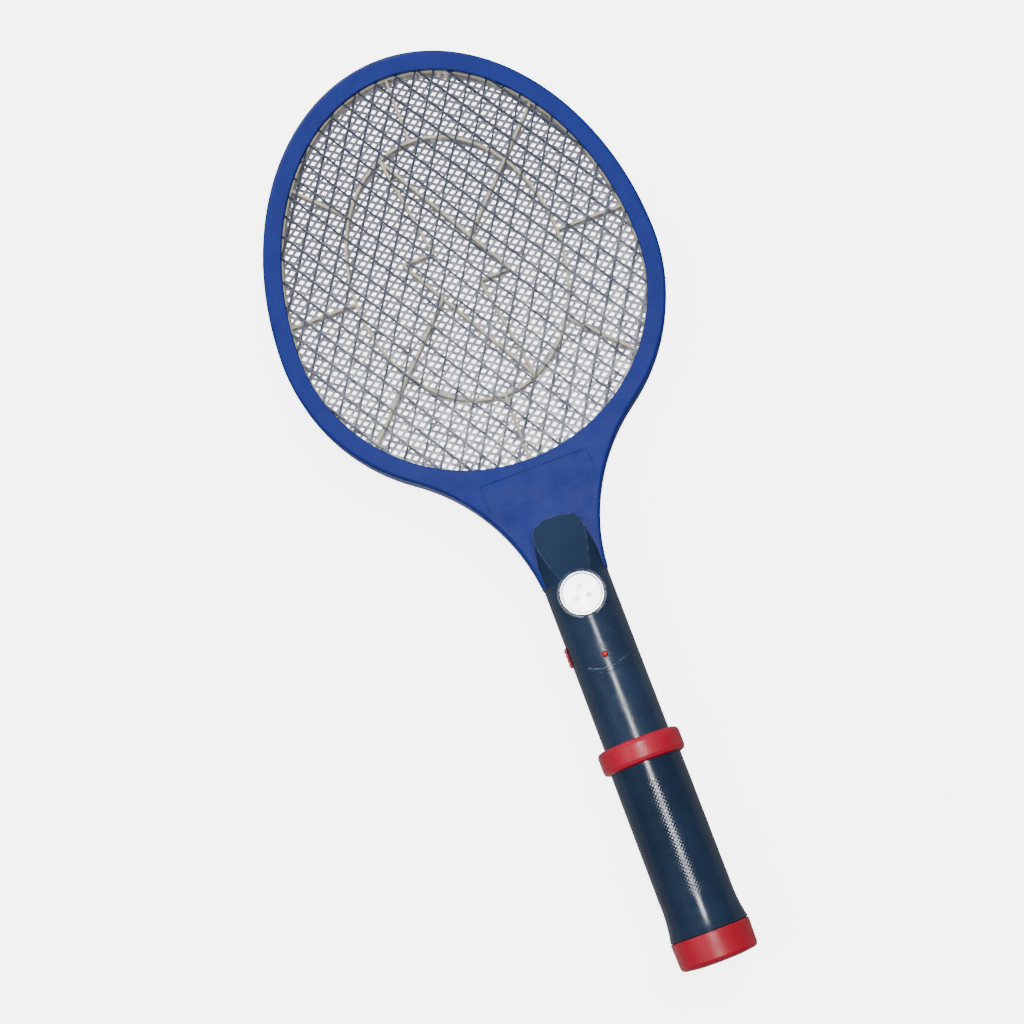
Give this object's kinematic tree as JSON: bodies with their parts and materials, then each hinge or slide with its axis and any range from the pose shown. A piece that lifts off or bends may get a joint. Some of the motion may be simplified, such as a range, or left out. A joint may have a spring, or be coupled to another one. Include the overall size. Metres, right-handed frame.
{
  "type": "electric fly swatter",
  "caption": "Racket-shaped electric fly swatter: egg-shaped head with layered wire net, round handle with lamp, slide switch and pull-off end cap over charging pins.",
  "frame": {"origin": "Middle of the length and width, on the level of the collar ring's lowest point, as the swatter lies face up.", "axes": "+X to the right seen from the lamp side, +Y from the end cap towards the head, +Z out of the lamp side."},
  "size_m": [0.21, 0.51, 0.044],
  "materials": {
    "blue_abs": "moulded ABS, finely textured",
    "navy_abs": "moulded ABS, glossy",
    "red_abs": "moulded ABS, lightly textured",
    "pale_plastic": "moulded, natural colour",
    "net_steel": "drawn, zinc plated wire",
    "screw_steel": "zinc plated",
    "tinned_copper": "tinned",
    "black_abs": "moulded",
    "nickel_brass": "nickel plated",
    "bezel_chrome": "vacuum plated",
    "clear_lens": "clear moulded",
    "reflector_mirror": "vacuum plated",
    "white_led": "clear epoxy",
    "red_led": "tinted epoxy",
    "green_board": "solder mask",
    "ferrite": "sintered",
    "winding_tape": "polyester tape",
    "film_green": "dipped",
    "film_yellow": "moulded box",
    "resistor_tan": "lacquered",
    "switch_steel": "nickel plated",
    "battery_case": "moulded",
    "foam": "closed-cell foam",
    "red_pvc": "PVC insulation",
    "black_pvc": "PVC insulation"
  },
  "bodies": {
    "swatter": {"front_frame": "blue_abs", "rear_frame": "blue_abs", "frame_screws": "screw_steel", "front_grid": "net_steel", "rear_grid": "net_steel", "centre_grid": "net_steel", "front_spacer": "pale_plastic", "rear_spacer": "pale_plastic", "grid_link": "tinned_copper", "front_cover": "navy_abs", "rear_cover": "navy_abs", "handle_screws": "screw_steel", "grip_screw": "screw_steel", "collar_ring": "red_abs", "grip_barrel": "navy_abs", "plug_insert": "black_abs", "plug_pins": "nickel_brass", "lamp_bezel": "bezel_chrome", "lamp_lens": "clear_lens", "lamp_reflector": "reflector_mirror", "lamp_leds": "white_led", "lamp_board": "green_board", "indicator_led": "red_led", "main_board": "green_board", "transformer_core": "ferrite", "transformer_winding": "winding_tape", "transformer_base": "black_abs", "hv_capacitor": "film_green", "charge_capacitor": "film_yellow", "rectifier_diodes": "black_abs", "resistors": "resistor_tan", "transistor": "black_abs", "switch_body": "switch_steel", "battery": "battery_case", "battery_tabs": "nickel_brass", "battery_pads": "foam", "grid_leads": "red_pvc", "lamp_leads": "red_pvc", "battery_leads": "black_pvc", "charge_leads": "black_pvc", "switch_leads": "black_pvc"},
    "switch": {"switch_knob": "red_abs", "switch_lever": "black_abs"},
    "cap": {"end_cap": "red_abs"}
  },
  "joints": [
    {"name": "switch_slide", "type": "slide", "parent": "swatter", "child": "switch", "axis": [0, 1, 0], "range_m": [-0.002, 0.002]},
    {"name": "cap_pull", "type": "slide", "parent": "swatter", "child": "cap", "axis": [0, -1, 0], "range_m": [0, 0.05]}
  ]
}
